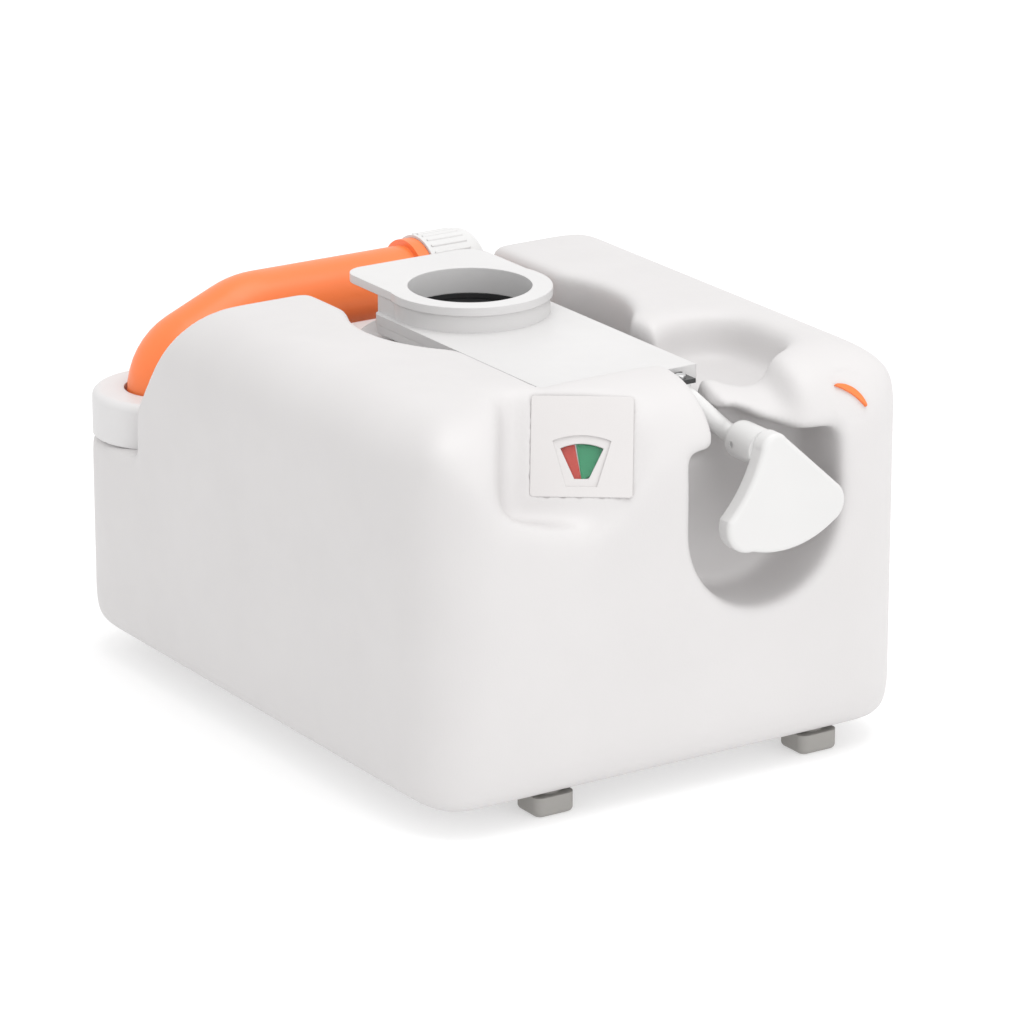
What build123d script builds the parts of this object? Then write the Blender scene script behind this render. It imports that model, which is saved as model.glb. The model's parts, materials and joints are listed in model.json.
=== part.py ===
from build123d import *
from math import cos, radians, sin
import os

# Waste-holding tank of a portable camp toilet: a blow-moulded tank with a slide
# valve on its neck, a swivelling pour-out spout, a float level indicator, a
# sprung air vent and four feet. Millimetres. X runs left to right, Y runs front
# to back, Z is up and the floor is z = 0.

# ---------------------------------------------------------------- tank form
body_width = 330.0
body_depth = 420.0
body_height = 227.0
foot_drop = 12.0
wall = 3.0
handle_proud = 8.0
corner_radius = 44.0
bottom_radius = 23.0
side_shoulder_radius = 38.0
front_shoulder_radius = 50.0

base_z = foot_drop
top_z = base_z + body_height
body_y = handle_proud / 2
front_y = body_y - body_depth / 2
back_y = body_y + body_depth / 2
over_cut = 30.0

# ---------------------------------------------------------------- neck and well
neck_setback = 224.0
neck_y = front_y + neck_setback
bore_radius = 36.5
well_radius = 82.0
well_shift = -22.0
well_depth = 43.0
well_floor_z = top_z - well_depth
rear_channel_left = -70.0
rear_channel_right = 72.0
groove_right = 46.0
groove_bend_setback = 54.0
bay_setback = 30.0
bridge_drop = 10.0
bridge_right = 108.0
bridge_setback = 66.0
spigot_outer_radius = 56.0
spigot_wall = 6.0
spigot_height = 10.0

# ---------------------------------------------------------------- slide valve
plate_half_width = 50.0
plate_front_gap = 70.0
plate_side_gap = 8.0
plate_floor_rise = 16.0
plate_stand_off = 8.5
plate_corner = 6.0
end_bar_depth = 6.0
end_bar_left = 13.0
screw_inset = 4.5
screw_spacing = 57.0
screw_radius = 1.75
screw_head_radius = 3.2
screw_head_height = 2.0
cover_thickness = 3.0
blade_thickness = 2.5
blade_radius = 40.0
blade_stroke = 78.0
blade_clearance = 0.3
seal_land = 3.3
seal_depth = 3.1
seal_gap = 0.05
tray_thickness = 5.0
flange_height = 15.5
flange_thickness = 5.0
flange_radius = 48.5
flange_tail = 68.0
flange_corner = 14.0
flange_step = 1.5
neck_block_radius = 47.0
neck_block_tail = 28.0
gasket_thickness = 2.0
base_disc_thickness = 4.0
ring_thickness = 9.5
ring_lip = 3.0
ring_rib_count = 48
ring_rib_radius = 1.3
ring_lift = 1.0
neck_relief = 2.0
seal_inset = 1.0
thread_clearance = 0.3

# ---------------------------------------------------------------- pull handle
tongue_left = 27.0
tongue_right = 40.0
tongue_proud = 14.0
rod_diameter = 11.0
hub_x = 54.0
hub_drop = 42.5
hub_radius = 11.0
paddle_thickness = 10.0
paddle_edge = 3.0
hub_edge = 4.0
rod_setback = 28.0
rod_engagement = 14.0
rod_bend_run = 19.0
rod_bend_radius = 12.0
rod_knee_radius = 7.0
pin_inset = 9.0
pin_sink = 0.5
eye_wall = 0.6
channel_left = 24.0
channel_right = 72.0
channel_floor_drop = 56.0
recess_x = 56.0
recess_half_width = 51.0
recess_floor_drop = 135.0
recess_ceiling_drop = 39.0
recess_depth = 45.0
grip_left = 50.0
grip_right = 116.0
grip_rear_setback = 130.0
grip_front_setback = 47.0
grip_floor_drop = 32.0
grip_corner = 24.0

# ---------------------------------------------------------------- spout
shelf_drop = 100.0
shelf_depth = 84.0
left_plateau_sweep = 48.0
right_plateau_sweep = 22.0
plateau_sweep_height = 70.0
foot_fillet = 12.0
collar_radius = 43.0
collar_height = 27.0
collar_gap = 1.0
tube_radius = 22.0
tube_wall = 2.5
tube_rise = 42.0
tube_slant_run = 56.0
tube_lower_bend = 27.0
tube_upper_bend = 45.0
tube_axis_drop = 34.0
tube_end_x = 57.0
nozzle_length = 22.0
bead_width = 8.0
bead_height = 3.5
spout_flange_radius = 33.0
spout_flange_thickness = 4.0
spigot_rise = 14.0
spout_nose = 8.0
collar_lip_clearance = 1.8
collar_edge_radius = 5.0
cap_edge_radius = 9.0
cap_rib_count = 30
cap_rib_radius = 1.0
cap_step = 5.0
cap_length = 40.0
cap_wall = 3.0
running_clearance = 0.08

spout_x = -body_width / 2 + corner_radius
spout_y = back_y - corner_radius
shelf_z = top_z - shelf_drop
tube_axis_z = top_z - tube_axis_drop
plateau_foot_y = back_y - shelf_depth
cap_radius = tube_radius + cap_step
ledge_back_y = spout_y - cap_radius
channel_floor_z = top_z - channel_floor_drop
recess_floor_z = top_z - recess_floor_drop
recess_ceiling_z = top_z - recess_ceiling_drop
grip_rear_y = front_y + grip_rear_setback
grip_front_y = front_y + grip_front_setback
grip_floor_z = top_z - grip_floor_drop
hub_z = top_z - hub_drop

# ---------------------------------------------------------------- level indicator
facet_turn = 35.0
facet_tilt = 28.0
facet_x = -51.5
facet_setback = 28.0
facet_drop = 29.5
notch_left = 45.0
notch_right = 80.0
notch_below = 46.0
plate_size = 57.0
plate_thickness = 2.5
indicator_pocket_depth = 7.0
indicator_proud = 0.3
tray_floor = 1.5
tray_rim = 2.0
pivot_inset = 10.0
dial_inset = 4.5
dial_thickness = 1.2
dial_hub_radius = 6.0
shaft_radius = 2.5
bush_radius = 5.0
window_radius = 28.4
window_centre_step = 8.2
window_floor_step = 0.4
window_half_angle = 25.0
divider_angle = 10.4
float_reach = 60.0
float_radius = 13.0
float_length = 19.0
float_droop = 18.0
float_edge = 3.0
arm_width = 8.0
arm_thickness = 3.0
arm_gap = 2.5
bush_flange_thickness = 2.0
lens_thickness = 1.0
dial_gap = 0.7
foil_thickness = 0.25
dial_left_angle = -80.0
dial_right_angle = 68.0
divider_half = 1.2
foil_margin = 0.5
foil_margin_angle = 1.0
window_border = 4.5
window_border_depth = 0.9

pivot_drop = plate_size / 2 - pivot_inset
dial_radius = plate_size / 2 - dial_inset
window_centre_drop = pivot_drop + window_centre_step
window_floor_drop = pivot_drop - window_floor_step

# ---------------------------------------------------------------- air vent
vent_x = 118.0
vent_tilt = 33.0
vent_disc_radius = 12.3
vent_cup_wall = 1.6
vent_body_depth = 18.0
vent_floor = 2.0
vent_travel = 3.0
button_proud = 0.8
bellows_inner_radius = 4.5
bellows_depth = 2.5
bellows_wall = 1.5
bellows_folds = 2
crescent_chord = 22.3
crescent_sagitta = 4.3
crescent_inner_sagitta = 1.5
crescent_turn = -44.0
crescent_edge = 1.0
vent_stem_radius = 3.0
stem_proud = 4.0
vent_seal_thickness = 2.2

# ---------------------------------------------------------------- feet
foot_width = 26.0
foot_length = 24.0
foot_left_x = -76.0
foot_right_x = 106.0
foot_front_inset = 27.0
foot_rear_inset = 40.0
foot_plug_radius = 8.0
foot_plug_height = 2.0
foot_corner = 5.0
foot_edge = 3.0

os.makedirs("parts", exist_ok=True)


def save(builder, name):
    """Label a finished piece and write its STEP file."""
    builder.part.label = name
    export_step(builder.part, f"parts/{name}.step")


def block(x_span, y_span, z_span, corner=0.0, grow=0.0):
    """An upright block between the given limits, pushed out by grow on every side."""
    x0, x1 = x_span[0] - grow, x_span[1] + grow
    y0, y1 = y_span[0] - grow, y_span[1] + grow
    z0, z1 = z_span[0] - grow, z_span[1] + grow
    with BuildPart() as piece:
        with BuildSketch(Plane.XY.offset(z0)):
            with Locations(((x0 + x1) / 2, (y0 + y1) / 2)):
                if corner > 0:
                    RectangleRounded(x1 - x0, y1 - y0, corner + grow)
                else:
                    Rectangle(x1 - x0, y1 - y0)
        extrude(amount=z1 - z0)
    return piece.part


def tank_form(inset):
    """The tank's closed outer form, drawn in by inset: plan, side and front outlines."""
    with BuildPart() as form:
        with BuildSketch(Plane.XY.offset(base_z + inset)):
            with Locations((0, body_y)):
                RectangleRounded(body_width - 2 * inset, body_depth - 2 * inset, corner_radius - inset)
        extrude(amount=body_height - 2 * inset)
        with BuildSketch(Plane.YZ):
            with Locations((body_y, (base_z + top_z) / 2)):
                Rectangle(body_depth, body_height)
            fillet(vertices().group_by(Axis.Y)[0], bottom_radius)
            fillet(vertices().group_by(Axis.Y)[-1].sort_by(Axis.X)[0], front_shoulder_radius)
            fillet(vertices().group_by(Axis.Y)[-1].sort_by(Axis.X)[-1], bottom_radius)
            if inset > 0:
                offset(amount=-inset)
        extrude(amount=body_width, both=True, mode=Mode.INTERSECT)
        with BuildSketch(Plane.XZ):
            with Locations((0, (base_z + top_z) / 2)):
                Rectangle(body_width, body_height)
            fillet(vertices().group_by(Axis.Y)[0], bottom_radius)
            fillet(vertices().group_by(Axis.Y)[-1], side_shoulder_radius)
            if inset > 0:
                offset(amount=-inset)
        extrude(amount=body_depth, both=True, mode=Mode.INTERSECT)
    return form.part


def neck_well(grow):
    """The round well that the valve's neck and clamp ring stand in."""
    with BuildPart() as piece:
        with BuildSketch(Plane.XY.offset(well_floor_z - grow)):
            with Locations((0, neck_y + well_shift)):
                Circle(well_radius + grow)
        extrude(amount=top_z + over_cut - well_floor_z)
    return piece.part


def rear_cut(x_span, sweep, grow):
    """The low shelf behind one plateau, under the swept-back rear wall."""
    edge_y = plateau_foot_y - sweep
    with BuildPart() as piece:
        with BuildSketch(Plane.YZ.offset(x_span[0] - grow)):
            with BuildLine():
                Polyline(
                    (edge_y, top_z),
                    (plateau_foot_y, top_z - plateau_sweep_height),
                    (plateau_foot_y, shelf_z + foot_fillet),
                    (plateau_foot_y + foot_fillet, shelf_z),
                    (back_y + over_cut, shelf_z),
                    (back_y + over_cut, top_z + over_cut),
                    (edge_y, top_z + over_cut),
                    close=True,
                )
            make_face()
            if grow > 0:
                offset(amount=grow, kind=Kind.INTERSECTION)
        extrude(amount=x_span[1] - x_span[0] + 2 * grow)
    return piece.part


def collar_space(grow):
    """Room for the spout's collar where it comes close to the swept rear wall."""
    with BuildPart() as piece:
        with BuildSketch(Plane.XY.offset(shelf_z - grow)):
            with Locations((spout_x, spout_y)):
                Circle(collar_radius + collar_gap + grow)
        extrude(amount=top_z + over_cut - shelf_z)
    return piece.part


def finger_recess(grow):
    """The round-bottomed recess in the front face, behind the pull handle."""
    sweep_z = recess_floor_z + recess_half_width
    with BuildPart() as piece:
        with BuildSketch(Plane.XZ.offset(-(front_y + recess_depth + grow))):
            with Locations((recess_x, sweep_z)):
                Circle(recess_half_width + grow)
            with Locations((recess_x, (sweep_z + recess_ceiling_z + grow) / 2)):
                Rectangle(2 * (recess_half_width + grow), recess_ceiling_z + grow - sweep_z)
        extrude(amount=recess_depth + grow + over_cut)
    return piece.part


def rod_channel(grow):
    """The groove for the valve rod, widening into a bay round the handle's hub."""
    outline = [
        (channel_left, plate_front_y),
        (groove_right, plate_front_y),
        (groove_right, front_y + groove_bend_setback),
        (channel_right, front_y + bay_setback),
        (channel_right, front_y - over_cut),
        (channel_left, front_y - over_cut),
    ]
    with BuildPart() as piece:
        with BuildSketch(Plane.XY.offset(channel_floor_z - grow)):
            with BuildLine():
                Polyline(*outline, close=True)
            make_face()
            if grow > 0:
                offset(amount=grow, kind=Kind.INTERSECTION)
        extrude(amount=top_z + over_cut - channel_floor_z)
    return piece.part


facet_outward = Vector(
    -sin(radians(facet_turn)) * cos(radians(facet_tilt)),
    -cos(radians(facet_turn)) * cos(radians(facet_tilt)),
    sin(radians(facet_tilt)),
)
facet_across = Vector(cos(radians(facet_turn)), -sin(radians(facet_turn)), 0)
facet_centre = Vector(facet_x, front_y + facet_setback, top_z - facet_drop)
facet = Plane(origin=facet_centre, x_dir=facet_across, z_dir=facet_outward)


def indicator_notch(grow):
    """The turned notch in the front shoulder whose floor carries the indicator."""
    across = notch_left + notch_right + 2 * grow
    with BuildPart() as piece:
        with BuildSketch(facet.offset(-grow)):
            with Locations(((notch_right - notch_left) / 2, (over_cut * 3 - notch_below) / 2)):
                Rectangle(across, notch_below + over_cut * 3 + 2 * grow)
        extrude(amount=over_cut * 4)
    return piece.part


def indicator_pocket(grow):
    """The square pocket in the notch's floor that holds the indicator's tray."""
    side = plate_size + 2 * (grow + blade_clearance)
    with BuildPart() as piece:
        with BuildSketch(facet.offset(-indicator_pocket_depth - grow)):
            Rectangle(side, side)
        extrude(amount=indicator_pocket_depth + grow + over_cut)
    return piece.part


def pockets(grow):
    """Every hollow in the outside of the tank, pushed out by grow for the cavity."""
    high = top_z + over_cut
    outside = body_width / 2 + over_cut
    return [
        neck_well(grow),
        block((rear_channel_left, rear_channel_right), (neck_y, ledge_back_y + over_cut),
              (well_floor_z, high), grow=grow),
        block((-plate_half_width - plate_side_gap, plate_half_width + plate_side_gap),
              (plate_front_y - plate_side_gap, neck_y), (plate_floor_z, high), grow=grow),
        block((grip_left, grip_right), (grip_front_y, grip_rear_y), (grip_floor_z, high), grip_corner, grow),
        rod_channel(grow),
        block((groove_right, bridge_right), (front_y - over_cut, front_y + bridge_setback),
              (top_z - bridge_drop, high), grow=grow),
        finger_recess(grow),
        rear_cut((-outside, rear_channel_left), left_plateau_sweep, grow),
        rear_cut((rear_channel_right, outside), right_plateau_sweep, grow),
        block((rear_channel_left, rear_channel_right), (ledge_back_y, back_y + over_cut),
              (shelf_z, high), grow=grow),
        collar_space(grow),
        indicator_notch(grow),
        indicator_pocket(grow),
    ]


# Heights of the valve stack, from the tank's spigot upward.
spigot_top_z = well_floor_z + spigot_height
base_disc_z = spigot_top_z + gasket_thickness
base_disc_top_z = base_disc_z + base_disc_thickness
plate_floor_z = well_floor_z + plate_floor_rise
blade_bottom_z = plate_floor_z + tray_thickness + plate_stand_off
blade_top_z = blade_bottom_z + blade_thickness
cover_under_z = blade_top_z + blade_clearance
plate_top_z = cover_under_z + cover_thickness
flange_top_z = plate_top_z + flange_height
tray_top_z = blade_bottom_z - blade_clearance
tray_under_z = tray_top_z - tray_thickness
plate_front_y = front_y + plate_front_gap
end_bar_y = plate_front_y - end_bar_depth
blade_space_front_y = plate_front_y + end_bar_depth
blade_front_y = blade_space_front_y + blade_stroke + blade_clearance

# ---------------------------------------------------------------- vent placing
vent_angle = radians(90 - vent_tilt)
vent_y = front_y + front_shoulder_radius * (1 - sin(vent_angle))
vent_z = top_z - front_shoulder_radius * (1 - cos(vent_angle))
vent_outward = Vector(0, -sin(vent_angle), cos(vent_angle))
vent_across = Vector(1, 0, 0).rotate(Axis((0, 0, 0), vent_outward), crescent_turn)
vent = Plane(origin=(vent_x, vent_y, vent_z), x_dir=vent_across, z_dir=vent_outward)


def crescent(low_w, high_w, grow=0.0):
    """The curved vent tab: a bowed outer arc over a nearly straight inner one."""
    half = crescent_chord / 2 + grow
    foot = -grow - crescent_edge
    with BuildPart() as piece:
        with BuildSketch(vent.offset(low_w)):
            with BuildLine():
                ThreePointArc((-half, 0), (0, crescent_sagitta + grow), (half, 0))
                Line((half, 0), (half, foot))
                ThreePointArc((half, foot), (0, crescent_inner_sagitta + foot), (-half, foot))
                Line((-half, foot), (-half, 0))
            make_face()
        extrude(amount=high_w - low_w)
    return piece.part


# ================================================================ tank shell
outer_pockets = pockets(0.0)
inner_pockets = pockets(wall)

with BuildPart() as cavity:
    add(tank_form(wall))
    add(inner_pockets, mode=Mode.SUBTRACT)

foot_places = {
    "foot_front_left": (foot_left_x, front_y + foot_front_inset),
    "foot_front_right": (foot_right_x, front_y + foot_front_inset),
    "foot_rear_left": (foot_left_x, back_y - foot_rear_inset),
    "foot_rear_right": (foot_right_x, back_y - foot_rear_inset),
}
spout_riser_z = shelf_z + spigot_rise + gasket_thickness
spout_spigot_inner = tube_radius + running_clearance
spout_spigot_outer = spout_flange_radius
ring_seat_z = well_floor_z - wall
spout_spigot_top_z = spout_riser_z - gasket_thickness

with BuildPart() as tank_shell:
    add(tank_form(0.0))
    add(outer_pockets, mode=Mode.SUBTRACT)
    add(cavity.part, mode=Mode.SUBTRACT)
    with BuildSketch(Plane.XY.offset(ring_seat_z)):
        with Locations((0, neck_y)):
            Circle(spigot_outer_radius)
    extrude(amount=spigot_top_z - ring_seat_z)
    with BuildSketch(Plane.XY.offset(shelf_z - wall)):
        with Locations((spout_x, spout_y)):
            Circle(spout_spigot_outer)
    extrude(amount=spout_spigot_top_z - shelf_z + wall)
    with BuildSketch(Plane.XY.offset(ring_seat_z - wall)):
        with Locations((0, neck_y)):
            Circle(spigot_outer_radius - spigot_wall)
    extrude(amount=spigot_top_z - ring_seat_z + 2 * wall, mode=Mode.SUBTRACT)
    with BuildSketch(Plane.XY.offset(shelf_z - 2 * wall)):
        with Locations((spout_x, spout_y)):
            Circle(spout_spigot_inner)
    extrude(amount=spout_spigot_top_z - shelf_z + 3 * wall, mode=Mode.SUBTRACT)
    with BuildSketch(facet.offset(-indicator_pocket_depth)):
        with Locations((0, -pivot_drop)):
            Circle(bush_radius)
    extrude(amount=-2 * wall, mode=Mode.SUBTRACT)
    add(crescent(-2 * wall, wall, blade_clearance), mode=Mode.SUBTRACT)
    with BuildSketch(Plane.XY.offset(base_z)):
        with Locations(*foot_places.values()):
            Circle(foot_plug_radius + running_clearance)
    extrude(amount=foot_plug_height, mode=Mode.SUBTRACT)
save(tank_shell, "tank_shell")

# ================================================================ slide valve
with BuildPart() as neck_gasket:
    with BuildSketch(Plane.XY.offset(spigot_top_z)):
        with Locations((0, neck_y)):
            Circle(spigot_outer_radius - seal_inset)
            Circle(spigot_outer_radius - spigot_wall, mode=Mode.SUBTRACT)
    extrude(amount=gasket_thickness)
save(neck_gasket, "neck_gasket")


def blade_outline(grow, front_edge_y):
    """A rounded back end on a straight strip, for the blade and the space it runs in."""
    strip = neck_y - front_edge_y
    with Locations((0, neck_y)):
        Circle(blade_radius + grow)
    with Locations((0, neck_y - strip / 2)):
        Rectangle(2 * (blade_radius + grow), strip)


screw_x = plate_half_width - screw_inset
screw_ys = [plate_front_y + 2 * screw_inset + step * screw_spacing for step in range(3)]
screw_places = [(side * screw_x, y) for side in (-1, 1) for y in screw_ys]

with BuildPart() as valve_lower_housing:
    with BuildSketch(Plane.XY.offset(base_disc_z)):
        with Locations((0, neck_y)):
            Circle(spigot_outer_radius - seal_inset)
    extrude(amount=base_disc_thickness)
    with BuildSketch(Plane.XY.offset(base_disc_top_z)):
        with Locations((0, neck_y)):
            Circle(neck_block_radius - neck_relief)
    extrude(amount=tray_under_z - base_disc_top_z)
    with BuildSketch(Plane.XY.offset(tray_under_z)):
        with Locations((0, neck_y)):
            Circle(neck_block_radius)
        with Locations((0, (neck_y + neck_block_tail + plate_front_y) / 2)):
            RectangleRounded(2 * plate_half_width, neck_y + neck_block_tail - plate_front_y, plate_corner)
    extrude(amount=tray_thickness)
    with BuildSketch(Plane.XY.offset(base_disc_z)):
        with Locations((0, neck_y)):
            Circle(bore_radius)
    extrude(amount=tray_top_z - base_disc_z, mode=Mode.SUBTRACT)
    with BuildSketch(Plane.XY.offset(tray_top_z - seal_depth)):
        with Locations((0, neck_y)):
            Circle(bore_radius + seal_land)
    extrude(amount=seal_depth, mode=Mode.SUBTRACT)
    with BuildSketch(Plane.XY.offset(tray_under_z)):
        with Locations(*screw_places):
            Circle(screw_radius)
    extrude(amount=tray_thickness, mode=Mode.SUBTRACT)
    with BuildSketch(Plane.XY.offset(tray_under_z)):
        with Locations(*screw_places):
            Circle(screw_head_radius)
    extrude(amount=screw_head_height, mode=Mode.SUBTRACT)
save(valve_lower_housing, "valve_lower_housing")

end_bar_x = (end_bar_left + plate_half_width) / 2
tongue_x = (tongue_left + tongue_right) / 2
screw_hole_top_z = plate_top_z - cover_thickness / 2
tongue_front_y = end_bar_y - tongue_proud

with BuildPart() as valve_upper_housing:
    with BuildSketch(Plane.XY.offset(tray_top_z)):
        with Locations((0, neck_y)):
            Circle(neck_block_radius)
        with Locations((0, (neck_y + neck_block_tail + plate_front_y) / 2)):
            RectangleRounded(2 * plate_half_width, neck_y + neck_block_tail - plate_front_y, plate_corner)
        with Locations((end_bar_x, (end_bar_y + blade_space_front_y) / 2)):
            Rectangle(plate_half_width - end_bar_left, blade_space_front_y - end_bar_y)
    extrude(amount=plate_top_z - tray_top_z)
    with BuildSketch(Plane.XY.offset(tray_under_z)):
        with Locations((end_bar_x, (end_bar_y + plate_front_y) / 2)):
            Rectangle(plate_half_width - end_bar_left, end_bar_depth)
    extrude(amount=plate_top_z - tray_under_z)
    with BuildSketch(Plane.XY.offset(plate_top_z)):
        with Locations((0, neck_y)):
            Circle(neck_block_radius)
        with Locations((0, neck_y + neck_block_tail / 2)):
            Rectangle(2 * (neck_block_radius - seal_inset), neck_block_tail)
    extrude(amount=flange_height - flange_thickness)
    with BuildSketch(Plane.XY.offset(flange_top_z - flange_thickness)) as flange_outline:
        with Locations((0, neck_y)):
            Circle(flange_radius)
        with Locations((0, neck_y + flange_tail / 2)):
            Rectangle(2 * (flange_radius - flange_step), flange_tail)
        fillet(flange_outline.vertices().group_by(Axis.Y)[-1], flange_corner)
    extrude(amount=flange_thickness)
    with BuildSketch(Plane.XY.offset(tray_top_z)):
        blade_outline(blade_clearance, blade_space_front_y)
    extrude(amount=cover_under_z - tray_top_z, mode=Mode.SUBTRACT)
    with BuildSketch(Plane.XY.offset(tray_top_z)):
        with Locations((tongue_x, plate_front_y)):
            Rectangle(tongue_right - tongue_left + 2 * blade_clearance, 2 * end_bar_depth)
    extrude(amount=cover_under_z - tray_top_z, mode=Mode.SUBTRACT)
    with BuildSketch(Plane.XY.offset(cover_under_z)):
        with Locations((0, neck_y)):
            Circle(bore_radius + seal_land)
    extrude(amount=seal_depth, mode=Mode.SUBTRACT)
    with BuildSketch(Plane.XY.offset(cover_under_z)):
        with Locations((0, neck_y)):
            Circle(bore_radius)
    extrude(amount=flange_top_z - cover_under_z, mode=Mode.SUBTRACT)
    with BuildSketch(Plane.XY.offset(tray_top_z)):
        with Locations(*screw_places):
            Circle(screw_radius)
    extrude(amount=screw_hole_top_z - tray_top_z, mode=Mode.SUBTRACT)
save(valve_upper_housing, "valve_upper_housing")

with BuildPart() as valve_screws:
    with BuildSketch(Plane.XY.offset(tray_under_z)):
        with Locations(*screw_places):
            Circle(screw_head_radius - blade_clearance)
    extrude(amount=screw_head_height)
    with BuildSketch(Plane.XY.offset(tray_under_z)):
        with Locations(*screw_places):
            Circle(screw_radius)
    extrude(amount=screw_hole_top_z - tray_under_z)
save(valve_screws, "valve_screws")


def lip_seal(low_z, high_z):
    """A flat rubber ring round the bore, between the two given heights."""
    with BuildPart() as piece:
        with BuildSketch(Plane.XY.offset(low_z)):
            with Locations((0, neck_y)):
                Circle(bore_radius + seal_land)
                Circle(bore_radius, mode=Mode.SUBTRACT)
        extrude(amount=high_z - low_z)
    return piece


save(lip_seal(blade_top_z + seal_gap, cover_under_z + seal_depth), "upper_lip_seal")
save(lip_seal(tray_top_z - seal_depth, blade_bottom_z - seal_gap), "lower_lip_seal")

rod_radius = rod_diameter / 2
rod_eye = (tongue_x, tongue_front_y + rod_radius + eye_wall, blade_bottom_z - rod_radius)
with BuildPart() as valve_blade:
    with BuildSketch(Plane.XY.offset(blade_bottom_z)):
        blade_outline(0, blade_front_y)
        with Locations((tongue_x, (blade_front_y + tongue_front_y) / 2)):
            Rectangle(tongue_right - tongue_left, blade_front_y - tongue_front_y)
        with Locations((rod_eye[0], rod_eye[1])):
            Circle(screw_radius, mode=Mode.SUBTRACT)
    extrude(amount=blade_thickness)
save(valve_blade, "valve_blade")

ring_under_z = well_floor_z + ring_lift
ring_top_z = base_disc_top_z + thread_clearance + ring_lip
ring_outer_radius = spigot_outer_radius + thread_clearance + ring_thickness
with BuildPart() as valve_clamp_ring:
    with BuildSketch(Plane.XY.offset(ring_under_z)):
        with Locations((0, neck_y)):
            Circle(ring_outer_radius)
            Circle(spigot_outer_radius + thread_clearance, mode=Mode.SUBTRACT)
    extrude(amount=ring_top_z - ring_under_z)
    with BuildSketch(Plane.XY.offset(ring_top_z - ring_lip)):
        with Locations((0, neck_y)):
            Circle(ring_outer_radius)
            Circle(neck_block_radius - neck_relief + thread_clearance, mode=Mode.SUBTRACT)
    extrude(amount=ring_lip)
    with BuildSketch(Plane.XY.offset(ring_under_z)):
        with Locations((0, neck_y)):
            with PolarLocations(ring_outer_radius, ring_rib_count):
                Circle(ring_rib_radius)
    extrude(amount=ring_top_z - ring_under_z - ring_lift)
save(valve_clamp_ring, "valve_clamp_ring")

# ================================================================ pull handle
knee_run = rod_bend_run / 3
knee_share = 1 / 7
rod_knee = (
    rod_eye[0] + (hub_x - rod_eye[0]) * knee_share,
    rod_eye[1] - knee_run,
    rod_eye[2] + (hub_z - rod_eye[2]) * knee_share,
)
rod_ankle = (hub_x, rod_eye[1] - rod_bend_run, hub_z)
hub_back_y = rod_eye[1] - rod_setback
rod_end = (hub_x, hub_back_y - rod_engagement, hub_z)
pin_y = hub_back_y - pin_inset
paddle_back_y = front_y - handle_proud + paddle_thickness
screw_shank_z = rod_eye[2] - rod_radius / 2


def vertical_bar(radius, low_z, high_z):
    """An upright round bar on the rod eye's axis."""
    with BuildPart() as piece:
        with BuildSketch(Plane.XY.offset(low_z)):
            with Locations((rod_eye[0], rod_eye[1])):
                Circle(radius)
        extrude(amount=high_z - low_z)
    return piece.part


def cross_bar(radius, half_length):
    """A round bar along X through the hub, for the pin and its holes."""
    with BuildPart() as piece:
        with BuildSketch(Plane.YZ.offset(hub_x - half_length)):
            with Locations((pin_y, hub_z)):
                Circle(radius)
        extrude(amount=2 * half_length)
    return piece.part


with BuildPart() as valve_rod:
    with BuildLine() as rod_path:
        FilletPolyline(rod_eye, rod_knee, rod_ankle, rod_end, radius=(rod_knee_radius, rod_bend_radius))
    with BuildSketch(Plane(origin=rod_path.line @ 0, z_dir=rod_path.line % 0)):
        Circle(rod_radius)
    sweep()
    add(vertical_bar(rod_radius + eye_wall, rod_eye[2] - rod_radius - eye_wall, blade_bottom_z))
    add(vertical_bar(screw_radius, screw_shank_z, blade_bottom_z), mode=Mode.SUBTRACT)
    add(cross_bar(screw_radius, hub_radius), mode=Mode.SUBTRACT)
save(valve_rod, "valve_rod")

with BuildPart() as rod_screw:
    add(vertical_bar(screw_head_radius, blade_top_z, blade_top_z + screw_head_height))
    fillet(rod_screw.edges().group_by(Axis.Z)[-1], screw_head_height / 3)
    add(vertical_bar(screw_radius, screw_shank_z, blade_top_z))
save(rod_screw, "rod_screw")

# The paddle's outline, as steps right and up from the hub's axis.
paddle_steps = {
    "left_top": (-8, 2.5),
    "left_hollow": (-15, -15.5),
    "left_wing": (-30, -35.5),
    "left_round": (-27, -50.5),
    "bottom_left": (-13, -56),
    "bottom": (16, -58.5),
    "bottom_right": (43, -47.5),
    "right_wing": (50, -37.5),
    "right_turn": (45, -25.5),
    "apex_right": (9, 7.5),
    "apex": (-1, 11),
}
paddle = {name: (hub_x + step[0], hub_z + step[1]) for name, step in paddle_steps.items()}

with BuildPart() as pull_handle:
    with BuildSketch(Plane.XZ.offset(-hub_back_y)):
        with Locations((hub_x, hub_z)):
            Circle(hub_radius)
    extrude(amount=hub_back_y - paddle_back_y)
    fillet(pull_handle.edges().group_by(Axis.Y)[-1], hub_edge)
    with BuildSketch(Plane.XZ.offset(-paddle_back_y)):
        with BuildLine():
            ThreePointArc(paddle["left_top"], paddle["left_hollow"], paddle["left_wing"])
            ThreePointArc(paddle["left_wing"], paddle["left_round"], paddle["bottom_left"])
            ThreePointArc(paddle["bottom_left"], paddle["bottom"], paddle["bottom_right"])
            ThreePointArc(paddle["bottom_right"], paddle["right_wing"], paddle["right_turn"])
            Line(paddle["right_turn"], paddle["apex_right"])
            ThreePointArc(paddle["apex_right"], paddle["apex"], paddle["left_top"])
        make_face()
    extrude(amount=paddle_thickness)
    fillet(pull_handle.edges().group_by(Axis.Y)[0], paddle_edge)
    with BuildSketch(Plane.XZ.offset(-hub_back_y)):
        with Locations((hub_x, hub_z)):
            Circle(rod_radius)
    extrude(amount=hub_back_y - rod_end[1], mode=Mode.SUBTRACT)
    add(cross_bar(screw_radius, hub_radius), mode=Mode.SUBTRACT)
save(pull_handle, "pull_handle")

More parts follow.
